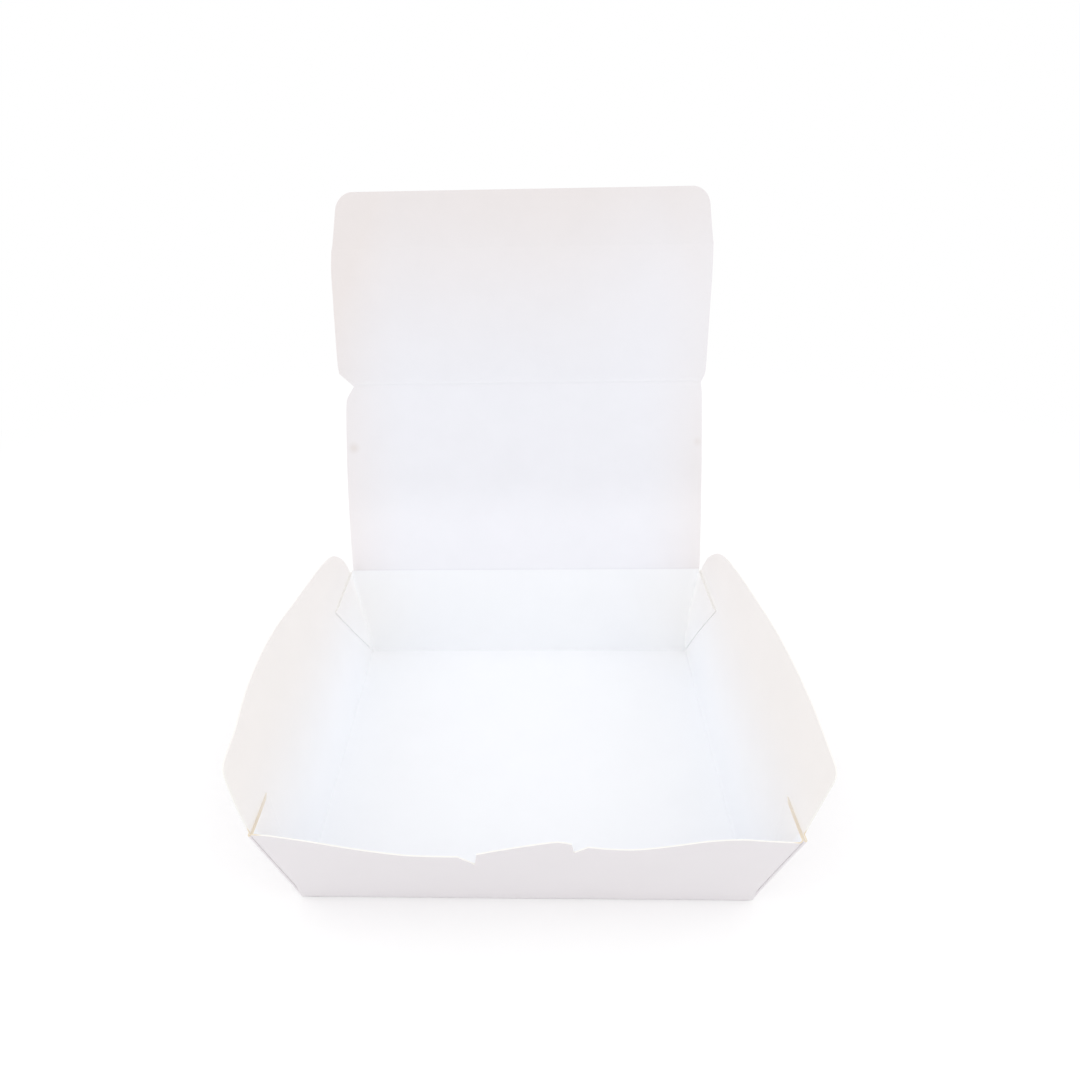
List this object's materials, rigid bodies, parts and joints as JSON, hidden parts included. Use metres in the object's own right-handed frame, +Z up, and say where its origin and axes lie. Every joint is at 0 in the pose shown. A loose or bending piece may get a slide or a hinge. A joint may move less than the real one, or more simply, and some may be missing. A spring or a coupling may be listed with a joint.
{
  "type": "takeout food box",
  "caption": "One-piece folded paperboard takeout box: flared tray with folded corner webs, hinged creased lid with tuck flap, two side dust flaps and a notched front edge.",
  "frame": {"origin": "centre of the underside of the base", "axes": "+X to the box's right seen from the front, +Y to the back where the lid is creased, +Z up"},
  "size_m": [0.1734, 0.1937, 0.1962],
  "materials": {
    "white_board": "smooth white coated paperboard, faint satin sheen"
  },
  "bodies": {
    "tray": {"tray": "white_board"},
    "lid": {"lid": "white_board"},
    "tuck_flap": {"tuck_flap": "white_board"},
    "left_dust_flap": {"left_dust_flap": "white_board"},
    "right_dust_flap": {"right_dust_flap": "white_board"}
  },
  "joints": [
    {"name": "lid_crease", "type": "hinge", "parent": "tray", "child": "lid", "pos_m": [0, 0.0704, 0.04315], "axis": [1, 0, 0], "range_deg": [-65, 110.1]},
    {"name": "tuck_crease", "type": "hinge", "parent": "lid", "child": "tuck_flap", "pos_m": [0, 0.11851, 0.17462], "axis": [1, 0, 0], "range_deg": [-15, 91.9]},
    {"name": "left_flap_crease", "type": "hinge", "parent": "tray", "child": "left_dust_flap", "pos_m": [-0.08177, 0, 0.0424], "axis": [0, 1, 0], "range_deg": [-25, 99.4]},
    {"name": "right_flap_crease", "type": "hinge", "parent": "tray", "child": "right_dust_flap", "pos_m": [0.08177, 0, 0.0424], "axis": [0, -1, 0], "range_deg": [-25, 99.4]}
  ]
}
